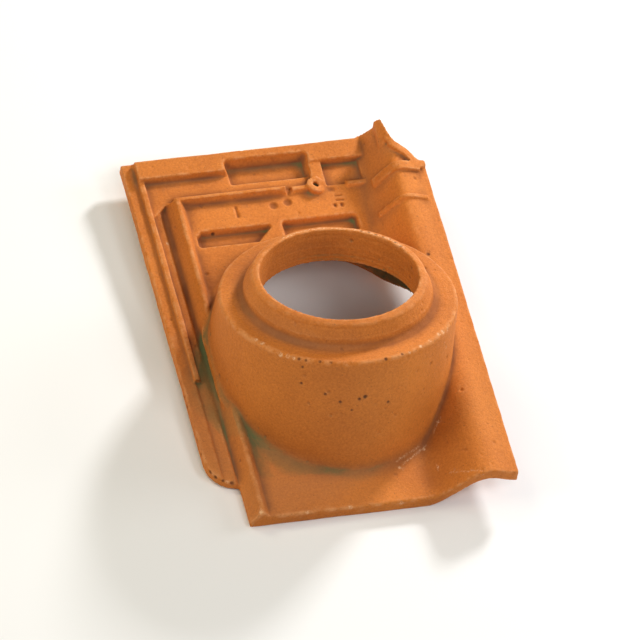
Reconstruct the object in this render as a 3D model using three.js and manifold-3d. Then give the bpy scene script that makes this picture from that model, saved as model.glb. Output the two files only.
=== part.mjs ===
// Roof vent tile: one pressed clay tile with a drum and a collar for a vent pipe.
//
// The tile is drawn in its own frame, in millimetres. X runs across it from the left edge,
// Y runs up the slope from the foot edge to the head edge, and Z rises from the flat underside.
// At the end it is laid down on its foot edge and its batten nibs, as it would lie on a floor.

import * as THREE from 'three';
import { mergeVertices } from 'three/addons/utils/BufferGeometryUtils.js';
import Module from 'manifold-3d';

const wasm = await Module();
wasm.setup();

// Pan, the flat field of the tile
const tileLength = 430;
const tileWidth = 284;
const panThickness = 13;
const edgeDraft = 3;

// Side lock along the left edge
const ledgeWidth = 12;
const ledgeHeight = 11;
const upstandWidth = 5;
const upstandHeight = 14.5;
const upstandStart = 166;
const upperFloorHeight = 9;
const lowerFloorHeight = 6.5;
const lowerFloorInset = 25;
const wallDraft = 1.5;
const lockFootY = 45;
const lockCornerRadius = 30;
const lockCornerSteps = 10;

// Rib between the side lock and the pan
const ribHeight = 20;
const ribFootX = 39;
const ribHeadX = 43;
const ribCrestWidth = 3;
const ribOuterRun = 9.5;
const ribInnerRun = 6;

// Roll along the right edge, a half round that covers the lock of the next tile
const rollCrestHeight = 45;
const rollEdgeHeight = 38;
const rollCrestX = tileWidth - 28;
const rollFootX = tileWidth - 86;
const rollHeadX = tileWidth - 56;
const rollLeftSteps = 12;
const rollRightSteps = 7;
const bodyStations = 6;

// Head end of the roll: outline of its sloping cut, and the bead along it
const headCutStart = tileWidth - 50;
const headCutDrop = 8;
const headTipX = tileWidth - 33.5;
const headCutKneeX = tileWidth - 25.5;
const headCutKneeY = tileLength - 34;
const headCutEdgeY = tileLength - 57;
const headCutFlank = { across: 0.5, along: 0.55 };
const headCutShoulder = { across: 0.45, along: 0.45 };
const headCutFall = { across: 0.72, along: 0.9 };
const headCutSteps = 12;
const headBeadWidth = 8;
const headBeadHeight = 4;
const tipFootLift = 1;
const tipHeadLift = 9.5;
const tipLength = 25;
const tipWidth = 11;

// Rings over the roll
const lowerRingY = tileLength - 100;
const lowerRingWidth = 5;
const lowerRingHeight = 2.5;
const upperRingY = tileLength - 63;
const upperRingWidth = 10;
const upperRingHeight = 3.5;
const ringInset = 10;
const ringEndInset = 7;

// Nail boss with its hole and the web that ties it to the head rib
const bossX = tileWidth - 104;
const bossY = tileLength - 53;
const bossRadius = 9;
const bossHeight = 19.5;
const nailHoleRadius = 3;
const bossSegments = 24;
const nailHoleSegments = 16;
const webLeft = bossX - 2;
const webRight = bossX + 11;
const webHeight = 16;

// Head lock, two ribs across the head with a channel between them
const headRibHeight = 18;
const headRibFootY = tileLength - 27;
const headRibRun = 3;
const channelHeight = 11;
const secondRibHeight = 20;
const secondRibCrestY = tileLength - 54;
const secondRibCrestWidth = 3;
const secondRibFootRun = 4.5;
const secondRibHeadRun = 7;
const secondRibEndX = bossX - 30;
const stubStartX = bossX - 24;
const stubHeight = 17;
const barStartX = tileWidth - 73;
const barHeight = 16;
const cornerFloorLength = 19;
const headPocket = {
  left: bossX - 81, right: bossX - 2, foot: tileLength - 39, head: tileLength - 14, floor: 6.5,
  corners: [2, 2, 2, 2],
};

// Hollows pressed into the pan, all with sloping sides. Their corners are cut off,
// in the order foot left, foot right, head right, head left.
const pocketDraft = 3;
const leftPocket = {
  left: 52, right: bossX - 53, foot: tileLength - 110, head: tileLength - 90, floor: 6,
  corners: [3, 15, 2, 6],
};
const rightPocket = {
  left: bossX - 43, right: bossX + 33, foot: tileLength - 108, head: tileLength - 88, floor: 6,
  corners: [2, 2, 4, 3],
};
const smallPocket = {
  left: bossX + 10, right: bossX + 20, foot: bossY - 8, head: bossY, floor: 11.3,
  corners: [2, 2, 2, 2],
};

// Press marks, plain strokes and round dimples
const markDepth = 2;
const markWidth = 3.6;
const fineMarkWidth = 2.4;
const longStroke = { x: bossX - 82, y: bossY - 19, length: 14 };
const dimples = [
  { x: bossX - 45, y: bossY - 16.5 },
  { x: bossX - 30.5, y: bossY - 14 },
];
const dimpleRadius = 5;
const dimpleFloorRadius = 2.5;
const dimpleSegments = 20;
const shortStrokes = [
  { x: bossX + 14, y: bossY - 24, along: 5 },
  { x: bossX + 21, y: bossY - 24, along: 5 },
  { x: bossX + 20, y: bossY - 18, across: 9 },
  { x: bossX + 20, y: bossY - 12.5, across: 8 },
];

// Collar and drum, on an axis that leans towards the head so that a pipe in it stands plumb
const pitch = THREE.MathUtils.degToRad(18.6);
const rimCentre = new THREE.Vector3(tileWidth / 2 + 3.7, 193.7, 118);
const boreRadius = 75;
const boreDepth = 38;
const rimWidth = 4;
const rimRound = 5;
const collarFootRadius = 90;
const collarFillet = 4;
const collarWaist = { radius: 88.5, depth: 14.4 };
const shoulderDrop = 24;
const shoulderRadius = 110;
const shoulderRound = 3;
const shoulderRise = 1;
const drumWall = 8;
const drumBackWall = 5;
const drumFootFrontY = 44;
const drumFootBackY = 312;
const drumFlare = 7;
const drumFlareHeight = 9;
const drumFlareLip = 0.5;
const drumFlareBend = 0.35;
const drumWallStations = [0.4, 0.75];
const roundSegments = 72;

// Batten nibs under the head
const nibDrop = 16;
const nibFootY = tileLength - 38;
const nibDepth = 15;
const nibWidth = 34;
const nibLeftX = 70;
const nibRightX = tileWidth - 98;
const nibDraft = 3;

// How far a cutting shape runs past the clay, how deep an added one sinks into it,
// and how far the drum's wall stands clear below the arch of the roll
const overrun = 10;
const sink = 2;
const archGap = 0.4;
const mergeTolerance = 1e-4;

const clay = new THREE.MeshStandardMaterial({ color: 0xc8703a, roughness: 0.85, metalness: 0 });

const mix = THREE.MathUtils.lerp;
const halfWave = (t) => (1 - Math.cos(Math.PI * t)) / 2;
const point = (x, y) => new THREE.Vector2(x, y);

// A closed three.js mesh becomes a solid once its shared corners are merged
function solidOf(geometry) {
  geometry.deleteAttribute('normal');
  geometry.deleteAttribute('uv');
  const merged = mergeVertices(geometry, mergeTolerance);
  return new wasm.Manifold(new wasm.Mesh({
    numProp: 3,
    vertProperties: new Float32Array(merged.attributes.position.array),
    triVerts: new Uint32Array(merged.index.array),
  }));
}

function geometryOf(solid) {
  const mesh = solid.getMesh();
  const geometry = new THREE.BufferGeometry();
  geometry.setAttribute('position', new THREE.BufferAttribute(mesh.vertProperties, 3));
  geometry.setIndex(new THREE.BufferAttribute(mesh.triVerts, 1));
  geometry.computeVertexNormals();
  return geometry;
}

// Closed body through a row of rings with equally many points, its two ends filled flat.
// flat gives the two coordinates in which an end is drawn.
function loft(rings, flat) {
  const count = rings[0].length;
  const index = [];
  for (let r = 0; r < rings.length - 1; r += 1) {
    for (let i = 0; i < count; i += 1) {
      const a = r * count + i;
      const b = r * count + (i + 1) % count;
      index.push(a, b, b + count, a, b + count, a + count);
    }
  }
  const last = (rings.length - 1) * count;
  for (const [a, b, c] of THREE.ShapeUtils.triangulateShape(rings[0].map(flat), [])) {
    index.push(a, c, b);
  }
  for (const [a, b, c] of THREE.ShapeUtils.triangulateShape(rings[rings.length - 1].map(flat), [])) {
    index.push(last + a, last + b, last + c);
  }
  const geometry = new THREE.BufferGeometry();
  geometry.setFromPoints(rings.flat());
  geometry.setIndex(index);
  return geometry;
}

// Outline in the plan, given a height range
function upright(outline, bottom, top) {
  const shape = new THREE.Shape(outline);
  const geometry = new THREE.ExtrudeGeometry(shape, { depth: top - bottom, bevelEnabled: false });
  return solidOf(geometry.translate(0, 0, bottom));
}

// Bar across the tile with its section drawn in Y and Z
function crossBar(left, right, section) {
  const shape = new THREE.Shape(section);
  const geometry = new THREE.ExtrudeGeometry(shape, { depth: right - left, bevelEnabled: false });
  const turn = new THREE.Matrix4().makeBasis(
    new THREE.Vector3(0, 1, 0), new THREE.Vector3(0, 0, 1), new THREE.Vector3(1, 0, 0));
  return solidOf(geometry.applyMatrix4(turn).translate(left, 0, 0));
}

// Bar along the tile with its section drawn in X and Z
function lengthBar(foot, head, section) {
  const shape = new THREE.Shape(section);
  const geometry = new THREE.ExtrudeGeometry(shape, { depth: head - foot, bevelEnabled: false });
  return solidOf(geometry.rotateX(Math.PI / 2).translate(0, head, 0));
}

// Outline of a pocket at one height, moved out by a distance on all sides and corners
const cornerGrowth = 2 - Math.SQRT2;

function pocketRing(p, out, height) {
  const [footLeft, footRight, headRight, headLeft] = p.corners.map((cut) => cut + cornerGrowth * out);
  const left = p.left - out;
  const right = p.right + out;
  const foot = p.foot - out;
  const head = p.head + out;
  return [
    [left + footLeft, foot],
    [right - footRight, foot],
    [right, foot + footRight],
    [right, head - headRight],
    [right - headRight, head],
    [left + headLeft, head],
    [left, head - headLeft],
    [left, foot + footLeft],
  ].map(([x, y]) => new THREE.Vector3(x, y, height));
}

function pocket(p) {
  const mouth = ribHeight + overrun;
  const slope = pocketDraft / (panThickness - p.floor);
  const rings = [
    pocketRing(p, -pocketDraft, p.floor),
    pocketRing(p, slope * (mouth - panThickness), mouth),
  ];
  return solidOf(loft(rings, (v) => point(v.x, v.y)));
}

function roundBar(x, y, radius, bottom, top, segments) {
  const geometry = new THREE.CylinderGeometry(radius, radius, top - bottom, segments);
  return solidOf(geometry.rotateX(Math.PI / 2).translate(x, y, (top + bottom) / 2));
}

const ribCentre = (y) => mix(ribFootX, ribHeadX, y / tileLength);
const ribOuterFoot = (y) => ribCentre(y) - ribCrestWidth / 2 - ribOuterRun;
const ribInnerFoot = (y) => ribCentre(y) + ribCrestWidth / 2 + ribInnerRun;
const rollStart = (y) => mix(rollFootX, rollHeadX, y / tileLength);

// Top of the roll across one station, from the pan over the crest to the right edge
function rollLine(y) {
  const line = [];
  for (let i = 0; i <= rollLeftSteps; i += 1) {
    const t = i / rollLeftSteps;
    line.push(point(mix(rollStart(y), rollCrestX, t), mix(panThickness, rollCrestHeight, halfWave(t))));
  }
  for (let i = 1; i <= rollRightSteps; i += 1) {
    const t = i / rollRightSteps;
    line.push(point(mix(rollCrestX, tileWidth, t), mix(rollCrestHeight, rollEdgeHeight, halfWave(t))));
  }
  return line;
}

// Whole section of the tile at one station, drawn in X and Z
function bodySection(y) {
  const roll = rollLine(y);
  const rib = ribCentre(y);
  return [
    point(0, 0),
    ...roll.map((p) => point(p.x, p.y - panThickness)),
    ...roll.reverse(),
    point(ribInnerFoot(y), panThickness),
    point(rib + ribCrestWidth / 2, ribHeight),
    point(rib - ribCrestWidth / 2, ribHeight),
    point(ribOuterFoot(y), lowerFloorHeight),
    point(lowerFloorInset + wallDraft, lowerFloorHeight),
    point(lowerFloorInset, upperFloorHeight),
    point(ledgeWidth + wallDraft, upperFloorHeight),
    point(ledgeWidth, ledgeHeight),
    point(0, ledgeHeight),
  ];
}

function tileBody() {
  const rings = [];
  for (let k = 0; k <= bodyStations; k += 1) {
    const y = tileLength * (1 - k / bodyStations);
    rings.push(bodySection(y).map((p) => new THREE.Vector3(p.x, y, p.y)));
  }
  return solidOf(loft(rings, (v) => point(v.x, v.z)));
}

// Everything below the arch of the roll, which stays open along its whole length
function underRoll() {
  const rings = [];
  const drop = panThickness + archGap;
  for (const y of [tileLength + overrun, -overrun]) {
    const arch = rollLine(y);
    const ring = arch.map((p) => new THREE.Vector3(p.x, y, p.y - drop)).reverse();
    ring.push(new THREE.Vector3(arch[0].x, y, -overrun));
    ring.push(new THREE.Vector3(tileWidth + overrun, y, -overrun));
    ring.push(new THREE.Vector3(tileWidth + overrun, y, rollEdgeHeight - drop));
    rings.push(ring);
  }
  return solidOf(loft(rings, (v) => point(v.x, v.z)));
}

// Upstand of the side lock, and the block that ends the lock short of the foot edge
function sideUpstand() {
  return lengthBar(upstandStart, tileLength - edgeDraft, [
    point(ledgeWidth - wallDraft, ledgeHeight - sink),
    point(ledgeWidth + upstandWidth + wallDraft, upperFloorHeight - sink),
    point(ledgeWidth + upstandWidth, upstandHeight),
    point(ledgeWidth, upstandHeight),
  ]);
}

function lockFootCut() {
  const edge = ribOuterFoot(0);
  const corner = new THREE.EllipseCurve(
    lockCornerRadius, lockFootY + lockCornerRadius, lockCornerRadius, lockCornerRadius,
    1.5 * Math.PI, Math.PI, true);
  const arc = corner.getPoints(lockCornerSteps).filter((p) => p.x < edge);
  const sinAtEdge = Math.sqrt(1 - ((lockCornerRadius - edge) / lockCornerRadius) ** 2);
  const footAtEdge = lockFootY + lockCornerRadius * (1 - sinAtEdge);
  const outline = [point(-overrun, -overrun), point(edge, -overrun), point(edge, footAtEdge)];
  outline.push(...arc, point(-overrun, lockFootY + lockCornerRadius));
  return upright(outline, -overrun, ribHeight + overrun);
}

// Plan line of the sloping cut at the head end of the roll, from the pan to the right edge
const headCutTip = point(headTipX, tileLength - headCutDrop);
const headCutKnee = point(headCutKneeX, headCutKneeY);
const headCutEdge = point(tileWidth, headCutEdgeY);
const partWay = (a, b, share) => point(mix(a.x, b.x, share.across), mix(a.y, b.y, share.along));
const headCut = new THREE.SplineCurve([
  headCutTip,
  partWay(headCutTip, headCutKnee, headCutFlank),
  headCutKnee,
  partWay(headCutKnee, headCutEdge, headCutShoulder),
  partWay(headCutKnee, headCutEdge, headCutFall),
  headCutEdge,
]).getPoints(headCutSteps);

function headCutBlock() {
  const far = tileLength + overrun;
  const outline = [point(headCutStart, tileLength), ...headCut];
  outline.push(point(tileWidth + overrun, headCutEdgeY), point(tileWidth + overrun, far));
  outline.push(point(headCutStart, far));
  return upright(outline, -overrun, rollCrestHeight + tipHeadLift + 2 * overrun);
}

// A ring or bead on the roll is the roll itself, lifted, within an outline in the plan
function liftedRoll(body, outline, lift) {
  const stencil = upright(outline, panThickness, rollCrestHeight + overrun);
  return body.translate([0, 0, lift]).intersect(stencil);
}

function ringOutline(centreY, width) {
  const left = rollStart(centreY) + ringInset;
  const right = tileWidth - ringEndInset;
  return [
    point(left, centreY - width / 2),
    point(right, centreY - width / 2),
    point(right, centreY + width / 2),
    point(left, centreY + width / 2),
  ];
}

// The bead is drawn over the cut, which trims its outer side later
function headBeadOutline() {
  const aside = (p, share) => point(p.x + share * headBeadWidth / 2, p.y + share * headBeadWidth);
  const outer = headCut.map((p) => aside(p, 1));
  const inner = headCut.map((p) => aside(p, -1));
  return [...inner, point(tileWidth + overrun, headCutEdgeY), ...outer.reverse()];
}

// The tip of the fin is the roll too, lifted more and more towards the head
function risingTip(body) {
  const foot = headCutTip.y - tipLength;
  const rise = (tipHeadLift - tipFootLift) / tipLength;
  const lean = new THREE.Matrix4().set(
    1, 0, 0, 0,
    0, 1, 0, 0,
    0, rise, 1, tipFootLift - rise * foot,
    0, 0, 0, 1);
  const stencil = upright([
    point(headTipX - tipWidth / 2, foot),
    point(headTipX + tipWidth / 2, foot),
    point(headTipX + tipWidth / 2, headCutTip.y + overrun),
    point(headTipX - tipWidth / 2, headCutTip.y + overrun),
  ], panThickness, rollCrestHeight + tipHeadLift + overrun);
  return body.transform(lean.toArray()).intersect(stencil);
}

// Ribs, channel, pockets and nail boss of the head lock
function headLockAdditions() {
  const root = channelHeight - sink;
  const rollRoot = rollStart(tileLength) + ringInset;
  const crest = secondRibCrestWidth / 2;
  const ribSection = (height) => [
    point(secondRibCrestY - crest - secondRibFootRun, panThickness - sink),
    point(secondRibCrestY + crest + secondRibHeadRun, root),
    point(secondRibCrestY + crest, height),
    point(secondRibCrestY - crest, height),
  ];
  const headRib = crossBar(ledgeWidth, rollRoot, [
    point(headRibFootY, root),
    point(tileLength, root),
    point(tileLength - edgeDraft, headRibHeight),
    point(headRibFootY + headRibRun, headRibHeight),
  ]);
  const web = crossBar(webLeft, webRight, [
    point(bossY, root),
    point(headRibFootY + headRibRun, root),
    point(headRibFootY + headRibRun, webHeight),
    point(bossY, webHeight),
  ]);
  const ribLeft = ribCentre(secondRibCrestY) - ribCrestWidth / 2;
  return [
    headRib,
    cornerFloor(),
    crossBar(ribLeft, secondRibEndX, ribSection(secondRibHeight)),
    crossBar(stubStartX, bossX - bossRadius / 2, ribSection(stubHeight)),
    crossBar(barStartX, rollRoot, ribSection(barHeight)),
    web,
    roundBar(bossX, bossY, bossRadius, root, bossHeight, bossSegments),
  ];
}

// Raised floor in the corner where the gutter of the side lock meets the channel
function cornerFloor() {
  const rib = ribCentre(secondRibCrestY);
  const head = headRibFootY + headRibRun;
  return upright([
    point(ledgeWidth, secondRibCrestY - cornerFloorLength),
    point(ribOuterFoot(secondRibCrestY), secondRibCrestY),
    point(rib, secondRibCrestY + secondRibCrestWidth),
    point(rib, head),
    point(ledgeWidth, head),
  ], upperFloorHeight - 2 * sink, channelHeight);
}

// The side rib stops at the second head rib, so that the lock's gutter meets the channel
function headChannel() {
  const foot = secondRibCrestY + secondRibCrestWidth / 2;
  const head = tileLength + overrun;
  return crossBar(lowerFloorInset, rollStart(tileLength), [
    point(foot, channelHeight),
    point(head, channelHeight),
    point(head, ribHeight + overrun),
    point(foot, ribHeight + overrun),
  ]);
}

function pressMarks() {
  const floor = panThickness - markDepth;
  const top = ribHeight;
  const stroke = (x, y, across, along) => upright([
    point(x - across / 2, y - along / 2),
    point(x + across / 2, y - along / 2),
    point(x + across / 2, y + along / 2),
    point(x - across / 2, y + along / 2),
  ], floor, top);
  const marks = [stroke(longStroke.x, longStroke.y, markWidth, longStroke.length)];
  for (const s of shortStrokes) {
    marks.push(stroke(s.x, s.y, s.across ?? markWidth, s.along ?? fineMarkWidth));
  }
  for (const m of dimples) {
    const spread = (dimpleRadius - dimpleFloorRadius) / markDepth;
    const mouth = dimpleRadius + spread * (top - panThickness);
    const geometry = new THREE.CylinderGeometry(mouth, dimpleFloorRadius, top - floor, dimpleSegments);
    marks.push(solidOf(geometry.rotateX(Math.PI / 2).translate(m.x, m.y, (top + floor) / 2)));
  }
  return marks;
}

// Frame of the leaning axis: plumb up the pipe, across the tile and down towards the head
const plumb = new THREE.Vector3(0, Math.sin(pitch), Math.cos(pitch));
const across = new THREE.Vector3(1, 0, 0);
const downhill = new THREE.Vector3(0, Math.cos(pitch), -Math.sin(pitch));

// Ring round the leaning axis at a depth below the rim, going round as seen from above
function axisRing(radius, depth) {
  const ring = [];
  for (let i = 0; i < roundSegments; i += 1) {
    const angle = 2 * Math.PI * i / roundSegments;
    ring.push(rimCentre.clone()
      .addScaledVector(plumb, -depth)
      .addScaledVector(across, radius * Math.cos(angle))
      .addScaledVector(downhill, radius * Math.sin(angle)));
  }
  return ring;
}

// Oval on a level plane: the outline in which the drum meets the pan, moved out or in
function footRing(halfWidth, frontY, backY, height) {
  const ring = [];
  for (let i = 0; i < roundSegments; i += 1) {
    const angle = 2 * Math.PI * i / roundSegments;
    ring.push(new THREE.Vector3(
      rimCentre.x + halfWidth * Math.cos(angle),
      (frontY + backY) / 2 + (backY - frontY) / 2 * Math.sin(angle),
      height));
  }
  return ring;
}

const blendRings = (a, b, t) => a.map((p, i) => p.clone().lerp(b[i], t));

// The flare at the foot of the drum stops at the gutter of the side lock
function keepOffGutter(ring) {
  for (const p of ring) {
    p.x = Math.max(p.x, ribOuterFoot(p.y));
  }
  return ring;
}

function drumOutside() {
  const radius = shoulderRadius + shoulderRound;
  const half = Math.SQRT1_2;
  const wallTop = axisRing(radius, shoulderDrop + shoulderRound);
  const flared = (share, height) => keepOffGutter(footRing(
    radius + share * drumFlare, drumFootFrontY - share * drumFlare,
    drumFootBackY + share * drumFlare, height));
  const wallFoot = flared(0, panThickness + drumFlareHeight);
  const rings = [
    flared(1, panThickness - sink),
    flared(1, panThickness + drumFlareLip),
    flared(drumFlareBend, panThickness + drumFlareBend * drumFlareHeight),
    wallFoot,
    ...drumWallStations.map((share) => blendRings(wallFoot, wallTop, share)),
    wallTop,
    axisRing(shoulderRadius + half * shoulderRound, shoulderDrop + (1 - half) * shoulderRound),
    axisRing(shoulderRadius, shoulderDrop),
    axisRing(collarFootRadius + collarFillet, shoulderDrop - shoulderRise),
    axisRing(collarFootRadius, shoulderDrop - collarFillet),
    axisRing(collarWaist.radius, collarWaist.depth),
    axisRing(boreRadius + rimWidth + rimRound, rimRound),
    axisRing(boreRadius + rimWidth + half * rimRound, (1 - half) * rimRound),
    axisRing(boreRadius + rimWidth, 0),
  ];
  return solidOf(loft(rings, (v) => point(v.x, v.y)));
}

function drumInside() {
  const radius = shoulderRadius + shoulderRound - drumWall;
  const front = drumFootFrontY + drumWall;
  const back = drumFootBackY - drumBackWall;
  const rings = [
    footRing(radius, front, back, -overrun),
    footRing(radius, front, back, 0),
    axisRing(radius, boreDepth),
    axisRing(radius - drumWall, boreDepth - sink),
  ];
  return solidOf(loft(rings, (v) => point(v.x, v.y)));
}

function bore() {
  const rings = [axisRing(boreRadius, boreDepth + drumWall), axisRing(boreRadius, -overrun)];
  return solidOf(loft(rings, (v) => point(v.x, v.y)));
}

// Batten nibs, cut below to the plane on which the tile rests
const restSlope = nibDrop / nibFootY;

function battenNib(left) {
  return crossBar(left, left + nibWidth, [
    point(nibFootY, -nibFootY * restSlope),
    point(nibFootY + nibDepth - nibDraft, -(nibFootY + nibDepth - nibDraft) * restSlope),
    point(nibFootY + nibDepth, sink),
    point(nibFootY, sink),
  ]);
}

function ventTile() {
  const body = tileBody();
  let tile = body.add(sideUpstand());
  tile = tile.subtract(headChannel());
  for (const piece of headLockAdditions()) {
    tile = tile.add(piece);
  }
  for (const hollow of [headPocket, leftPocket, rightPocket, smallPocket]) {
    tile = tile.subtract(pocket(hollow));
  }
  for (const mark of pressMarks()) {
    tile = tile.subtract(mark);
  }
  tile = tile.add(liftedRoll(body, ringOutline(lowerRingY, lowerRingWidth), lowerRingHeight));
  tile = tile.add(liftedRoll(body, ringOutline(upperRingY, upperRingWidth), upperRingHeight));
  tile = tile.add(liftedRoll(body, headBeadOutline(), headBeadHeight));
  tile = tile.add(risingTip(body));
  tile = tile.add(drumOutside());
  tile = tile.subtract(underRoll()).subtract(drumInside()).subtract(bore());
  tile = tile.subtract(lockFootCut()).subtract(headCutBlock());
  tile = tile.subtract(roundBar(bossX, bossY, nailHoleRadius, -overrun, bossHeight + overrun,
    nailHoleSegments));
  return tile.add(battenNib(nibLeftX)).add(battenNib(nibRightX));
}

// The tile lies on its nibs and its foot edge, with the origin under the middle of its box
const tile = new THREE.Mesh(geometryOf(ventTile()), clay);
tile.name = 'vent_tile';
tile.rotation.x = Math.atan(restSlope);
const box = new THREE.Box3().setFromObject(tile, true);
const middle = box.getCenter(new THREE.Vector3());
tile.position.set(-middle.x, -middle.y, -box.min.z);

const group = new THREE.Group();
group.add(tile);

export default group;
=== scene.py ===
# %% [markdown]
# The real object is one roof tile of red clay, pressed in a mould and fired. It has a round
# drum with a collar, through which a vent pipe passes. The solid model gives every form and
# size. This script gives the clay its soft edges, its small faults and its colour.

import bmesh
import bpy
import numpy as np
from mathutils import Matrix, Vector, kdtree, noise
from mathutils.bvhtree import BVHTree


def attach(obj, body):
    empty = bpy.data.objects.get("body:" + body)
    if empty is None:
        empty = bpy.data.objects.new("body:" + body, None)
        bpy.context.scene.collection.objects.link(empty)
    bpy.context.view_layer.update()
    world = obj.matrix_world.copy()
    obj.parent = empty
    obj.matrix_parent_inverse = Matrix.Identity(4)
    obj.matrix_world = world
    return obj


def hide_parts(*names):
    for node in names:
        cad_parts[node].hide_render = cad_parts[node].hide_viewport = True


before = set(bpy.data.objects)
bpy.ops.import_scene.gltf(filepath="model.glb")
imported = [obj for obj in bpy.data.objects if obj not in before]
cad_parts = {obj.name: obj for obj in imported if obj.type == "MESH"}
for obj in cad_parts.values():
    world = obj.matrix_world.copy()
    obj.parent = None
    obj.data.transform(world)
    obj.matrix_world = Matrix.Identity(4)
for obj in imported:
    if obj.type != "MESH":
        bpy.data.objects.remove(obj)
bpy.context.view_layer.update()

MM = 0.001

# %% [markdown]
# ## One skin of clay
#
# A pressed tile has no sharp corner anywhere: the slip fills them and the kiln rounds them.
# Bevels on single edges would leave the many crossings of ribs and curves sharp. So the solid
# is rebuilt as one even skin of small squares, and the skin is then smoothed a little, as a
# wet sponge does before the tile dries.

# %% A merged copy of the solid
SAME_POINT = 0.01 * MM


def merged_copy(node, name):
    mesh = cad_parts[node].data.copy()
    mesh.name = name
    work = bmesh.new()
    work.from_mesh(mesh)
    bmesh.ops.remove_doubles(work, verts=work.verts, dist=SAME_POINT)
    work.to_mesh(mesh)
    work.free()
    return mesh


def with_modifier(mesh, kind, **settings):
    holder = bpy.data.objects.new("holder", mesh)
    bpy.context.scene.collection.objects.link(holder)
    step = holder.modifiers.new(kind, kind)
    for key, value in settings.items():
        setattr(step, key, value)
    done = bpy.data.meshes.new_from_object(
        holder.evaluated_get(bpy.context.evaluated_depsgraph_get()))
    bpy.data.objects.remove(holder)
    return done


SKIN_SQUARE = 1.1 * MM
skin = merged_copy("vent_tile", "clay skin")
skin = with_modifier(skin, "REMESH", mode="VOXEL", voxel_size=SKIN_SQUARE)
print("skin of", len(skin.polygons), "small faces")

# %% Sponged edges
SPONGE_PASSES = 1
SPONGE_PULL = 0.5


def sponge(mesh, passes, wanted=None):
    work = bmesh.new()
    work.from_mesh(mesh)
    work.verts.ensure_lookup_table()
    chosen = work.verts if wanted is None else [work.verts[i] for i in wanted]
    for _ in range(passes):
        bmesh.ops.smooth_vert(
            work, verts=chosen, factor=SPONGE_PULL,
            use_axis_x=True, use_axis_y=True, use_axis_z=True)
    work.to_mesh(mesh)
    work.free()


sponge(skin, SPONGE_PASSES)
print("sponge passes over the whole skin:", SPONGE_PASSES)

# %% [markdown]
# ## Places and facings
#
# The softer foot and the faults of the clay are placed by where a point lies and which way
# it faces. Two short helpers read the skin's points and facings into plain tables, and one
# writes the points back. Moving whole tables is much faster than moving point by point.

# %% Points and facings
def points_of(mesh):
    table = np.empty(len(mesh.vertices) * 3)
    mesh.vertices.foreach_get("co", table)
    return table.reshape(-1, 3)


def facings_of(mesh):
    table = np.empty(len(mesh.vertices) * 3)
    mesh.vertices.foreach_get("normal", table)
    return table.reshape(-1, 3)


def set_points(mesh, table):
    mesh.vertices.foreach_set("co", table.ravel())
    mesh.update()


points = points_of(skin)
print("points", len(points))

# %% [markdown]
# ## Soft foot of the drum
#
# Where the drum grows out of the pan and the roll, the clay is drawn up in a wide soft
# hollow. Smoothing only the points near that line widens the hollow there and leaves the
# locks and the rim crisp.

# %% Drum foot
RIM_CENTRE = np.array((3.7, -25.17, 125.8)) * MM
DRUM_AXIS = np.array((0.0, 0.28004, 0.95999))
DRUM_RADIUS = 113 * MM
SOFT_BAND = 14 * MM
SOFT_PASSES = 30
BELOW_THE_RIM = 34 * MM
ABOVE_THE_UNDERSIDE = 12 * MM
NOT_FACING_DOWN = -0.2


def from_drum_axis(table):
    offset = table - RIM_CENTRE
    along = offset @ DRUM_AXIS
    side = offset - np.outer(along, DRUM_AXIS)
    return np.linalg.norm(side, axis=1), -along


away, depth = from_drum_axis(points)
foot = np.nonzero(
    (np.abs(away - DRUM_RADIUS) < SOFT_BAND) & (depth > BELOW_THE_RIM)
    & (points[:, 2] > ABOVE_THE_UNDERSIDE) & (facings_of(skin)[:, 2] > NOT_FACING_DOWN))[0]
sponge(skin, SOFT_PASSES, foot)
print("soft foot on", len(foot), "points")

# %% [markdown]
# ## Hand and kiln
#
# Clay shrinks by a tenth while it dries and burns, so no face stays quite flat. A slow
# noise of a few tenths of a millimetre gives that unrest. Stones in the clay leave small
# pits. Each fault is a real dent in the mesh, because a bump in the material alone would
# leave the outline perfect.

# %% Slow unrest of the faces
WAVES = ((45 * MM, 0.5 * MM), (12 * MM, 0.16 * MM))


def unrest(mesh, size, height):
    table = points_of(mesh)
    lift = np.array([noise.noise(Vector(p) / size) for p in table]) * height
    set_points(mesh, table + facings_of(mesh) * lift[:, None])


for wave_size, wave_height in WAVES:
    unrest(skin, wave_size, wave_height)
print("faces waved by up to", round(sum(height for _, height in WAVES) / MM, 2), "mm")

# %% [markdown]
# ## Turning lines
#
# Collar, shoulder and throat were shaped by a turning tool, which leaves fine rings about the
# pipe's axis. A noise that reads only the distance from that axis and the depth along it is
# the same all the way round, so it draws such rings and no others.

# %% Rings about the axis
LINE_STEP = 2.6 * MM
LINE_HEIGHT = 0.3 * MM
LINE_FADE = 8 * MM
SHOULDER_DEPTH = 45 * MM


def turning_lines(mesh):
    table = points_of(mesh)
    away, depth = from_drum_axis(table)
    share = np.clip((DRUM_RADIUS - away) / LINE_FADE, 0, 1) * (depth < SHOULDER_DEPTH)
    lines = np.array([noise.noise(Vector((a, d, 0)) / LINE_STEP) for a, d in zip(away, depth)])
    set_points(mesh, table + facings_of(mesh) * (lines * share * LINE_HEIGHT)[:, None])


turning_lines(skin)
print("turning lines", LINE_HEIGHT / MM, "mm high")

# %% Pits
PITS = 150
PIT_RADIUS = (1.3, 2.6)
PIT_DEPTH = 0.35
NOT_THE_UNDERSIDE = -0.1
SEED = 11


def tree_of(table):
    tree = kdtree.KDTree(len(table))
    for index, place in enumerate(table):
        tree.insert(place, index)
    tree.balance()
    return tree


def dent(table, tree, centre, radius, deep, direction):
    for _, index, distance in tree.find_range(centre, radius):
        table[index] -= np.array(direction) * deep * (1 - (distance / radius) ** 2)


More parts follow.
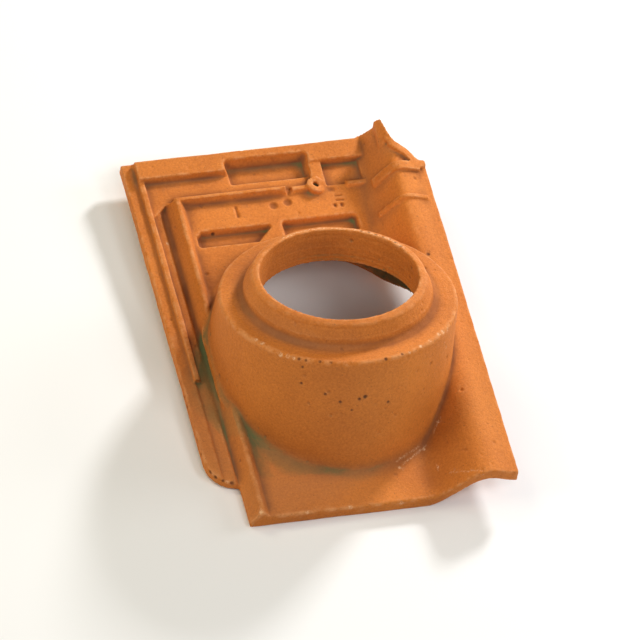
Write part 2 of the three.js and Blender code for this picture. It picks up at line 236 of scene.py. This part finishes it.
chance = np.random.RandomState(SEED)
points = points_of(skin)
facings = facings_of(skin)
tree = tree_of(points)
upward = np.nonzero(facings[:, 2] > NOT_THE_UNDERSIDE)[0]
for index in chance.choice(upward, PITS, replace=False):
    radius = chance.uniform(*PIT_RADIUS) * MM
    dent(points, tree, Vector(points[index]), radius, PIT_DEPTH * radius, facings[index])
set_points(skin, points)
print("pits", PITS)

# %% [markdown]
# ## Chips and specks that the photograph shows, and a painted highlight on the rim
#
# Some faults are large enough to be known again: the specks on the drum's front, the broken
# edge of the shoulder, the nicks along the rounded corner of the lock. Handling breaks the
# chips and draws the pale scratches. The row of pale marks along the back of the rim is small
# chips in the mesh, coloured pale as a painted highlight. Each fault is a place in millimetres
# with a radius. It is pressed in at the nearest point of the skin, and the points keep a
# number, so that the material can show pale clay in a chip, the painted highlight on the rim
# and dark in a pit.

# %% Places of the faults, in mm
DARK_PITS = (
    (-35, -143, 97, 1.4), (-21, -148, 91, 1.5), (2, -151, 96, 2.1), (-4, -151, 94, 1.6),
    (25, -152, 86, 1.4), (-56, -126, 121, 1.3), (-56, -131, 102, 1.4), (-11, -154, 82, 1.2),
    (-59, -122, 127, 1.4), (-53, -125, 128, 1.2), (-41, -131, 131, 1.3), (-31, -134, 132, 1.1),
    (20, -138, 133, 1.7), (37, -134, 132, 1.2), (117, 44, 55, 1.9), (-72, 124, 23, 2.0),
    (-139, -152, 12, 1.8), (-135, -158, 11, 1.9), (-129, -163, 10, 1.5), (-121, -167, 10, 2.0),
    (-141, -129, 10, 1.5), (-142, -112, 10, 1.3), (-142, -72, 12, 1.4), (-142, -60, 12, 1.2),
)
PALE_CHIPS = (
    (-74, -111, 123, 2.2), (-68, -115, 125, 1.7), (-63, -119, 126, 1.4), (-86, -93, 121, 1.9),
    (-91, -86, 119, 1.6), (45, -132, 131, 1.3), (58, -125, 129, 1.5), (69, -118, 127, 1.4),
    (80, -110, 125, 1.8), (85, -106, 123, 2.0), (91, -101, 120, 1.6), (92, -105, 98, 1.7),
    (88, -108, 108, 1.2), (84, -138, 29, 1.6), (67, -159, 17, 1.4), (39, -175, 15, 1.3),
    (-105, -212, 19, 2.2), (-18, -214, 12, 1.8), (31, -214, 11, 2.0), (-137, -155, 12, 1.4),
    (-126, -165, 10, 1.3), (-60, -213, 12, 1.5), (74, -184, 20, 1.3), (-116, 118, 25, 1.5),
)
PALE_SCRATCHES = (
    ((38, -169, 17), (62, -156, 18)), ((44, -172, 15), (70, -155, 17)),
    ((80, -197, 26), (108, -213, 40)), ((86, -135, 33), (78, -146, 24)),
)
SCRATCH_STEP = 1.2
SCRATCH_RADIUS = 0.9
SCRATCH_WANDER = 0.5


def marks_along(start, end):
    start, end = np.array(start, float), np.array(end, float)
    count = int(np.linalg.norm(end - start) / SCRATCH_STEP)
    for share in np.linspace(0, 1, count):
        wander = chance.uniform(-SCRATCH_WANDER, SCRATCH_WANDER, 3)
        yield (*(start + (end - start) * share + wander), SCRATCH_RADIUS)


scratched = [mark for ends in PALE_SCRATCHES for mark in marks_along(*ends)]
print("faults", len(DARK_PITS), "dark,", len(PALE_CHIPS), "pale,",
      len(scratched), "along scratches")

# %% Broken edge of the rim and the painted highlight along its back, with turns in degrees
RIM_LINE_RADIUS = 78 * MM
RIM_HIGHLIGHT_TURNS = np.arange(22, 118, 1.1)
RIM_DARK_TURNS = np.arange(26, 64, 5.5)
RIM_WANDER = 0.6
RIM_CHIP_AND_HIGHLIGHT_RADIUS = (0.8, 1.5)
RIM_PIT_RADIUS = (0.9, 1.4)


def along_rim(turns, smallest, largest):
    across, uphill = np.array((1, 0, 0)), np.cross(DRUM_AXIS, (1, 0, 0))
    for turn in np.radians(turns):
        place = RIM_CENTRE + RIM_LINE_RADIUS * (np.cos(turn) * across + np.sin(turn) * uphill)
        place = place / MM + chance.uniform(-RIM_WANDER, RIM_WANDER, 3)
        yield (*place, chance.uniform(smallest, largest))


# The pale marks run round the back of the rim, towards the key lamp: small chips coloured pale
# as a painted highlight. The dark marks are pits.
rim_chips_and_highlight = list(along_rim(RIM_HIGHLIGHT_TURNS, *RIM_CHIP_AND_HIGHLIGHT_RADIUS))
rim_pits = list(along_rim(RIM_DARK_TURNS, *RIM_PIT_RADIUS))
print("rim faults", len(rim_pits), "dark,", len(rim_chips_and_highlight), "pale")

# %% Faults pressed into the skin
STAIN_REACH = 1.3
DARK_DEPTH, CHIP_DEPTH, SCRATCH_DEPTH, RIM_CHIP_DEPTH = 0.6, 0.35, 0.15, 0.2
SCRATCH_SHOWS, RIM_HIGHLIGHT_SHOWS = 0.3, 0.7


def press_marks(table, normals, tree, marks, depth_share):
    numbers = np.zeros(len(table))
    for *place, radius in marks:
        centre, index, _ = tree.find(Vector(place) * MM)
        dent(table, tree, centre, radius * MM, depth_share * radius * MM, normals[index])
        reach = STAIN_REACH * radius * MM
        for _, near, distance in tree.find_range(centre, reach):
            numbers[near] = max(numbers[near], 1 - distance / reach)
    return numbers


points = points_of(skin)
facings = facings_of(skin)
tree = tree_of(points)
pitted = press_marks(points, facings, tree, [*DARK_PITS, *rim_pits], DARK_DEPTH)
chipped_and_highlit = press_marks(points, facings, tree, PALE_CHIPS, CHIP_DEPTH)
# The scratches and the rim's pale marks join the chips. On the rim the pale colour is a painted
# highlight.
for marks, depth_share, shows in (
        (scratched, SCRATCH_DEPTH, SCRATCH_SHOWS), (rim_chips_and_highlight, RIM_CHIP_DEPTH, RIM_HIGHLIGHT_SHOWS)):
    numbers = press_marks(points, facings, tree, marks, depth_share)
    chipped_and_highlit = np.maximum(chipped_and_highlit, shows * numbers)
set_points(skin, points)
print("points in faults", int((pitted > 0).sum()), "dark,", int((chipped_and_highlit > 0).sum()), "pale")

# %% [markdown]
# ## Scuffed edges and shaded hollows
#
# Edges lose their skin and show the paler body, and hollows are painted darker, as shade. The
# mesh itself tells which is which: a point that stands out from its neighbours' middle is on
# an edge, and one that lies below it is in a hollow. Both are kept as numbers on the points,
# because a material can read them in every view.

# %% Edge and hollow numbers
EDGE_PASSES = 6
HOLLOW_PASSES = 60


def neighbour_mean(values, edges, count):
    total = np.zeros_like(values)
    for a, b in ((0, 1), (1, 0)):
        for column in range(values.shape[1]):
            total[:, column] += np.bincount(
                edges[:, a], weights=values[edges[:, b], column], minlength=len(values))
    return total / count[:, None]


def standing_out(mesh, passes):
    table = points_of(mesh)
    edges = np.empty(len(mesh.edges) * 2, dtype=np.int32)
    mesh.edges.foreach_get("vertices", edges)
    edges = edges.reshape(-1, 2)
    count = np.maximum(np.bincount(edges.ravel(), minlength=len(table)), 1)
    smooth = table
    for _ in range(passes):
        smooth = neighbour_mean(smooth, edges, count)
    return np.einsum("ij,ij->i", table - smooth, facings_of(mesh))


sharp = standing_out(skin, EDGE_PASSES) / MM
wide = standing_out(skin, HOLLOW_PASSES) / MM
dense_points = points_of(skin)
print("edges stand out up to", round(float(sharp.max()), 2), "mm,",
      "hollows lie in up to", round(float(-wide.min()), 2), "mm")

# %% Fewer faces, with the numbers carried over
FACE_LIMIT = 190000
FULL_EDGE = 0.5
FULL_HOLLOW = 1.6
FAULT_GAIN = 2.2

triangles = sum(len(face.vertices) - 2 for face in skin.polygons)
skin = with_modifier(skin, "DECIMATE", ratio=FACE_LIMIT / triangles)
skin.name = "pressed_tile"
skin.shade_smooth()
dense_tree = tree_of(dense_points)
nearest = [dense_tree.find(point)[1] for point in points_of(skin)]


def keep_numbers(mesh, name, numbers):
    layer = mesh.attributes.new(name, "FLOAT", "POINT")
    layer.data.foreach_set("value", numbers)


keep_numbers(skin, "edge", np.clip(sharp / FULL_EDGE, 0, 1)[nearest])
keep_numbers(skin, "hollow", np.clip(-wide / FULL_HOLLOW, 0, 1)[nearest])
keep_numbers(skin, "chipped_and_highlit", np.clip(FAULT_GAIN * chipped_and_highlit, 0, 1)[nearest])
keep_numbers(skin, "pitted", np.clip(FAULT_GAIN * pitted, 0, 1)[nearest])
tile = bpy.data.objects.new("pressed_tile", skin)
bpy.context.scene.collection.objects.link(tile)
print("triangles", sum(len(face.vertices) - 2 for face in skin.polygons))

# %% [markdown]
# ## Sheltered places and painted green shade
#
# The gutter beside the drum and the corners of the locks are painted dark green, as shade. How
# sheltered a point is can be felt out: from each point a fan of short rays goes out, and the
# share that meets clay close by is the number it keeps. A second, narrow fan towards the key
# lamp tells how far the point lies in the tile's own shadow. The painted green shade goes where
# both are high. A pale grey tint of shade is painted on what faces up in that shadow.

# %% Rays that feel for clay
OFF_THE_SKIN = 0.8 * MM


def fan(count):
    turns = np.arange(count) * (3 - 5 ** 0.5) * np.pi
    rise = np.sqrt((np.arange(count) + 0.5) / count)
    flat = np.sqrt(1 - rise ** 2)
    return [Vector(v) for v in zip(flat * np.cos(turns), flat * np.sin(turns), rise)]


def outward(ray, facing):
    return ray if ray.dot(facing) > 0 else ray.reflect(facing)


def as_given(ray, facing):
    return ray


def share_that_meets_clay(mesh, rays, reach, aim):
    clay = BVHTree.FromPolygons(
        [v.co for v in mesh.vertices], [tuple(p.vertices) for p in mesh.polygons])
    numbers = np.zeros(len(mesh.vertices))
    for index, vertex in enumerate(mesh.vertices):
        start = vertex.co + vertex.normal * OFF_THE_SKIN
        met = [clay.ray_cast(start, aim(ray, vertex.normal), reach)[0] for ray in rays]
        numbers[index] = sum(place is not None for place in met) / len(rays)
    return numbers


print("a fan of 4 rays points to", [tuple(round(x, 2) for x in ray) for ray in fan(4)])

# %% Shelter and shade numbers
FAN_RAYS = 20
FAN_REACH = 75 * MM
# The narrow fan aims at the key lamp, so its number is the tile's own shadow from that lamp.
KEY_RAYS = 8
KEY_SPREAD = 0.35
KEY_REACH = 400 * MM
KEY_LAMP_SIDE = Vector((0.62, 0.62, 0.47)).normalized()

sheltered = share_that_meets_clay(skin, fan(FAN_RAYS), FAN_REACH, outward)
toward_key = [(KEY_LAMP_SIDE + KEY_SPREAD * ray).normalized() for ray in fan(KEY_RAYS)]
in_key_shadow = share_that_meets_clay(skin, toward_key, KEY_REACH, as_given)
print("mean shelter", round(float(sheltered.mean()), 3),
      "mean shade", round(float(in_key_shadow.mean()), 3))

# %% Numbers of the painted green shade and the painted shade tint
GREEN_SHADE_STARTS_AT = {"shelter": 0.2, "shade": 0.6}
GREEN_SHADE_FULL_AFTER = {"shelter": 0.25, "shade": 0.4}


def green_shade_share(numbers, kind):
    return np.clip((numbers - GREEN_SHADE_STARTS_AT[kind]) / GREEN_SHADE_FULL_AFTER[kind], 0, 1)


# Painted green shade where a point is sheltered and lies in the key lamp's shadow.
green_shade = green_shade_share(sheltered, "shelter") * green_shade_share(in_key_shadow, "shade")
keep_numbers(skin, "green_shaded", green_shade)
# A painted grey tint of shade on what faces up in the key lamp's shadow.
keep_numbers(skin, "shade_tinted", in_key_shadow * np.clip(facings_of(skin)[:, 2], 0, 1))
print("mean film", round(float(green_shade.mean()), 3))

# %% [markdown]
# ## Fired clay
#
# Red clay burns unevenly: the colour drifts from orange to brown over a hand's width, with
# fine darker grains in it. It could be painted on an image, but noise nodes need no image and
# have no seams. Three groups keep the drift, the grain, and the scuffed edges with the painted
# shade apart, so each can be set by itself. They read Object coordinates, so the pattern stays
# with the clay.

# %% Node helpers
def new_group(name, inputs, outputs):
    group = bpy.data.node_groups.new(name, "ShaderNodeTree")
    for label, kind, value in inputs:
        socket = group.interface.new_socket(label, in_out="INPUT", socket_type=kind)
        socket.default_value = value
    for label, kind in outputs:
        group.interface.new_socket(label, in_out="OUTPUT", socket_type=kind)
    return group, add(group, "NodeGroupInput"), add(group, "NodeGroupOutput")


def add(holder, kind, links=None, values=None, **settings):
    made = holder.nodes.new(kind)
    for key, value in settings.items():
        setattr(made, key, value)
    for key, value in (values or {}).items():
        made.inputs[key].default_value = value
    for key, source in (links or {}).items():
        holder.links.new(source, made.inputs[key])
    return made


def noise_fac(holder, where, scale, detail, rough):
    made = add(holder, "ShaderNodeTexNoise", {"Vector": where},
               {"Scale": scale, "Detail": detail, "Roughness": rough})
    return made.outputs["Fac"]


def ramp(holder, source, low, high, out_low=0.0, out_high=1.0):
    made = add(holder, "ShaderNodeMapRange", {"Value": source},
               {"From Min": low, "From Max": high, "To Min": out_low, "To Max": out_high})
    return made.outputs["Result"]


def feed(holder, socket, source):
    if isinstance(source, bpy.types.NodeSocket):
        holder.links.new(source, socket)
    else:
        socket.default_value = source


def mixed(holder, share, first, second):
    made = add(holder, "ShaderNodeMix", data_type="RGBA")
    inputs = [made.inputs[0], made.inputs[6], made.inputs[7]]
    for socket, source in zip(inputs, (share, first, second)):
        feed(holder, socket, source)
    return made.outputs[2]


def math(holder, operation, first, second):
    made = add(holder, "ShaderNodeMath", operation=operation)
    for socket, source in zip(made.inputs, (first, second)):
        feed(holder, socket, source)
    return made.outputs[0]


print("node helpers ready")

# %% Colour drift of the burnt clay
def burnt_colour():
    group, given, result = new_group(
        "burnt colour",
        [("Place", "NodeSocketVector", (0, 0, 0)),
         ("Light", "NodeSocketColor", (0.5, 0.2, 0.05, 1)),
         ("Dark", "NodeSocketColor", (0.3, 0.1, 0.03, 1))],
        [("Color", "NodeSocketColor")])
    where = given.outputs["Place"]
    slow = noise_fac(group, where, 9.0, 4.0, 0.55)
    fine = noise_fac(group, where, 420.0, 3.0, 0.7)
    share = math(group, "ADD", ramp(group, slow, 0.3, 0.7, 0.1, 0.9),
                 ramp(group, fine, 0.3, 0.7, -0.4, 0.4))
    clay = mixed(group, share, given.outputs["Dark"], given.outputs["Light"])
    group.links.new(clay, result.inputs["Color"])
    return group


colour_group = burnt_colour()
print("group", colour_group.name)


# %% Grain of the clay
def clay_grain():
    group, given, result = new_group(
        "clay grain",
        [("Place", "NodeSocketVector", (0, 0, 0))],
        [("Height", "NodeSocketFloat"), ("Grit", "NodeSocketFloat")])
    where = given.outputs["Place"]
    sand = noise_fac(group, where, 900.0, 4.0, 0.65)
    skin_waves = noise_fac(group, where, 160.0, 3.0, 0.5)
    height = math(group, "ADD", sand, skin_waves)
    group.links.new(height, result.inputs["Height"])
    grit = ramp(group, noise_fac(group, where, 620.0, 2.0, 0.5), 0.66, 0.74)
    group.links.new(grit, result.inputs["Grit"])
    return group


grain_group = clay_grain()
print("group", grain_group.name)


# %% Scuffed edges and painted shade from the edge, hollow and green shade numbers
def wear_and_shade():
    group, given, result = new_group(
        "wear_and_shade",
        [("Place", "NodeSocketVector", (0, 0, 0)),
         ("Edge", "NodeSocketFloat", 0.0),
         ("Hollow", "NodeSocketFloat", 0.0),
         ("Green_shaded", "NodeSocketFloat", 0.0)],
        [("Scuffed", "NodeSocketFloat"), ("Shaded hollow", "NodeSocketFloat"),
         ("Green shade", "NodeSocketFloat")])
    where = given.outputs["Place"]
    patches = ramp(group, noise_fac(group, where, 110.0, 5.0, 0.7), 0.42, 0.62)
    scuffed = math(group, "MULTIPLY", ramp(group, given.outputs["Edge"], 0.15, 0.8), patches)
    group.links.new(scuffed, result.inputs["Scuffed"])
    # Shaded hollow is painted shade: the hollow number, broken by a slow cloud.
    cloud = ramp(group, noise_fac(group, where, 25.0, 4.0, 0.6), 0.3, 0.6, 0.6, 1.0)
    shaded_hollow = math(group, "MULTIPLY", given.outputs["Hollow"], cloud)
    group.links.new(shaded_hollow, result.inputs["Shaded hollow"])
    # Green shade is painted shade, broken by the same cloud.
    green_shade = math(group, "MULTIPLY", given.outputs["Green_shaded"], cloud)
    group.links.new(green_shade, result.inputs["Green shade"])
    return group


wear_and_shade_group = wear_and_shade()
print("group", wear_and_shade_group.name)

# %% [markdown]
# ## The clay itself
#
# The material lays its layers over the burnt colour one after another: painted shade in the
# hollows, a painted grey tint of shade, painted green shade, scuffed edges, dark grit, and last
# the fresh chips with the painted highlight on the rim, and the pits. Each layer is a mix whose
# share is one of the kept numbers.

# %% Colours of the finishes, the painted shades and the painted highlight
LIGHT_CLAY = (0.68, 0.215, 0.032, 1)
DARK_CLAY = (0.50, 0.140, 0.020, 1)
PALE_BODY = (0.74, 0.34, 0.13, 1)
# Painted shade in the hollows.
HOLLOW_SHADE = (0.22, 0.065, 0.02, 1)
# Painted shade in green, for the gutter and the corners in the tile's own shadow.
GREEN_SHADE = (0.110, 0.135, 0.055, 1)
DARK_GRIT = (0.20, 0.07, 0.025, 1)
# Pale clay of the chips and scratches. Along the back of the rim the same colour is a painted
# highlight.
BROKEN_CLAY_AND_HIGHLIGHT = (0.82, 0.50, 0.27, 1)
PIT_SHADE = (0.10, 0.035, 0.015, 1)
# A painted grey tint of shade, on up-facing faces in the tile's own shadow.
SHADE_TINT = (0.34, 0.27, 0.17, 1)
SHADE_TINT_SHARE = 0.17
SCUFF_SHARE = 0.6
GRIT_SHARE = 0.6
PIT_SHARE = 0.8
print("light clay", LIGHT_CLAY[:3], "dark clay", DARK_CLAY[:3])

# %% The clay material
CLEAN_ROUGHNESS = 0.68
HOLLOW_ROUGHNESS = 0.9
SPECULAR = 0.2
GRAIN_STRENGTH = 0.9
GRAIN_HEIGHT = 0.7 * MM


def kept(tree, name):
    return add(tree, "ShaderNodeAttribute", attribute_name=name).outputs["Fac"]


def layer(tree, number, share, clay, finish):
    return mixed(tree, math(tree, "MULTIPLY", number, share), clay, finish)


def fired_clay():
    material = bpy.data.materials.new("fired clay")
    material.use_nodes = True
    tree = material.node_tree
    shader = tree.nodes["Principled BSDF"]
    where = add(tree, "ShaderNodeTexCoord").outputs["Object"]
    colour = add(tree, "ShaderNodeGroup", node_tree=colour_group)
    tree.links.new(where, colour.inputs["Place"])
    colour.inputs["Light"].default_value = LIGHT_CLAY
    colour.inputs["Dark"].default_value = DARK_CLAY
    grain = add(tree, "ShaderNodeGroup", node_tree=grain_group)
    tree.links.new(where, grain.inputs["Place"])
    worn_and_shaded = add(tree, "ShaderNodeGroup", node_tree=wear_and_shade_group)
    tree.links.new(where, worn_and_shaded.inputs["Place"])
    for label in ("Edge", "Hollow", "Green_shaded"):
        tree.links.new(kept(tree, label.lower()), worn_and_shaded.inputs[label])
    # Painted shade in the hollows comes first.
    clay = mixed(tree, worn_and_shaded.outputs["Shaded hollow"], colour.outputs["Color"], HOLLOW_SHADE)
    # A painted grey tint of shade on faces that look up in the key lamp's shadow.
    clay = layer(tree, kept(tree, "shade_tinted"), SHADE_TINT_SHARE, clay, SHADE_TINT)
    # Painted green shade.
    clay = mixed(tree, worn_and_shaded.outputs["Green shade"], clay, GREEN_SHADE)
    clay = layer(tree, worn_and_shaded.outputs["Scuffed"], SCUFF_SHARE, clay, PALE_BODY)
    clay = layer(tree, grain.outputs["Grit"], GRIT_SHARE, clay, DARK_GRIT)
    # Pale chips and scratches, and the painted highlight along the back of the rim.
    ragged = ramp(tree, noise_fac(tree, where, 650.0, 2.0, 0.6), 0.38, 0.6)
    clay = layer(tree, kept(tree, "chipped_and_highlit"), ragged, clay, BROKEN_CLAY_AND_HIGHLIGHT)
    clay = layer(tree, kept(tree, "pitted"), PIT_SHARE, clay, PIT_SHADE)
    tree.links.new(clay, shader.inputs["Base Color"])
    rough = ramp(tree, worn_and_shaded.outputs["Shaded hollow"], 0.0, 1.0, CLEAN_ROUGHNESS, HOLLOW_ROUGHNESS)
    tree.links.new(rough, shader.inputs["Roughness"])
    shader.inputs["Specular IOR Level"].default_value = SPECULAR
    bump = add(tree, "ShaderNodeBump", {"Height": grain.outputs["Height"]},
               {"Strength": GRAIN_STRENGTH, "Distance": GRAIN_HEIGHT})
    tree.links.new(bump.outputs["Normal"], shader.inputs["Normal"])
    return material


skin.materials.clear()
skin.materials.append(fired_clay())
print("material", skin.materials[0].name)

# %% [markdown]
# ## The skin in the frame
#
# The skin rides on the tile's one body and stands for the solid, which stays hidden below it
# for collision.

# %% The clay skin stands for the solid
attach(tile, "root")
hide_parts("vent_tile")
print("the skin stands for vent_tile")

# %% [markdown]
# ## Studio
#
# The tile was photographed from high on its left front with a long lens. The strongest light
# comes from behind on the right and draws the collar's shadow on the shoulder. Five larger,
# weaker lamps round the tile fill its shade, as the pale walls of a studio do.

# %% Floor
FLOOR_SIZE = 6.0
FLOOR_COLOUR = (0.86, 0.86, 0.86, 1)
FLOOR_ROUGHNESS = 0.9


def pale_floor():
    mesh = bpy.data.meshes.new("floor")
    work = bmesh.new()
    bmesh.ops.create_grid(work, x_segments=1, y_segments=1, size=FLOOR_SIZE / 2)
    work.to_mesh(mesh)
    work.free()
    floor = bpy.data.objects.new("floor", mesh)
    bpy.context.scene.collection.objects.link(floor)
    material = bpy.data.materials.new("pale floor")
    material.use_nodes = True
    shader = material.node_tree.nodes["Principled BSDF"]
    shader.inputs["Base Color"].default_value = FLOOR_COLOUR
    shader.inputs["Roughness"].default_value = FLOOR_ROUGHNESS
    mesh.materials.append(material)
    return floor


pale_floor()
print("floor", FLOOR_SIZE, "m wide")

# %% Lamps, with azimuth and elevation in degrees, size in metres and power in watts
LAMP_DISTANCE = 2.1
WHITE = (1, 1, 1)
WARM = (1, 0.92, 0.7)
LAMPS = (
    ("key behind right", 45, 28, 0.3, 42, WHITE),
    ("right", 0, 28, 0.7, 10, WHITE),
    ("high right", 315, 52, 0.7, 11, WHITE),
    ("high front", 270, 52, 0.7, 10, WHITE),
    ("high behind", 135, 52, 0.7, 9, WARM),
    ("left", 180, 28, 0.7, 16, WARM),
)


def lamp(name, place, size, power, colour):
    data = bpy.data.lights.new(name, "AREA")
    data.shape = "SQUARE"
    data.size = size
    data.energy = power
    data.color = colour
    made = bpy.data.objects.new(name, data)
    made.location = place
    made.rotation_euler = (-place).to_track_quat("-Z", "Y").to_euler()
    bpy.context.scene.collection.objects.link(made)


def round_the_tile(azimuth, elevation):
    turn, rise = np.radians((azimuth, elevation))
    flat = np.cos(rise)
    return LAMP_DISTANCE * Vector((flat * np.cos(turn), flat * np.sin(turn), np.sin(rise)))


for lamp_name, azimuth, elevation, size, power, colour in LAMPS:
    lamp(lamp_name, round_the_tile(azimuth, elevation), size, power, colour)
print("lamps", len(LAMPS))

# %% Light of the room
ROOM_LIGHT = 0.04

world = bpy.data.worlds.new("studio")
world.use_nodes = True
background = world.node_tree.nodes["Background"]
background.inputs["Color"].default_value = (*WHITE, 1)
background.inputs["Strength"].default_value = ROOM_LIGHT
bpy.context.scene.world = world
bpy.context.scene.view_settings.view_transform = "Standard"
print("room light", ROOM_LIGHT)

# %% [markdown]
# ## Camera
#
# The photograph shows hardly any perspective, so the camera stands far off with a long lens.
# Two directions, the photograph's right and its up, turn it. The field is the width that the
# photograph covers at the tile, and the lens follows from field and distance.

# %% Camera
SENSOR = 36
RIGHT = Vector((0.9648, -0.2370, 0.1149)).normalized()
UP = Vector((0.1107, 0.7606, 0.6395))
TOWARD = RIGHT.cross(UP).normalized()
UP = TOWARD.cross(RIGHT)
LOOKS_AT = Vector((8.9, 15.2, 9.35)) * MM
DISTANCE = 9.5
FIELD = 607.8 * MM


def photograph_camera():
    data = bpy.data.cameras.new("camera")
    data.sensor_width = SENSOR
    data.lens = SENSOR * DISTANCE / FIELD
    camera = bpy.data.objects.new("camera", data)
    turn = Matrix((RIGHT, UP, TOWARD)).transposed().to_4x4()
    camera.matrix_world = Matrix.Translation(LOOKS_AT + TOWARD * DISTANCE) @ turn
    bpy.context.scene.collection.objects.link(camera)
    bpy.context.scene.camera = camera
    return camera


print("lens", round(photograph_camera().data.lens), "mm")
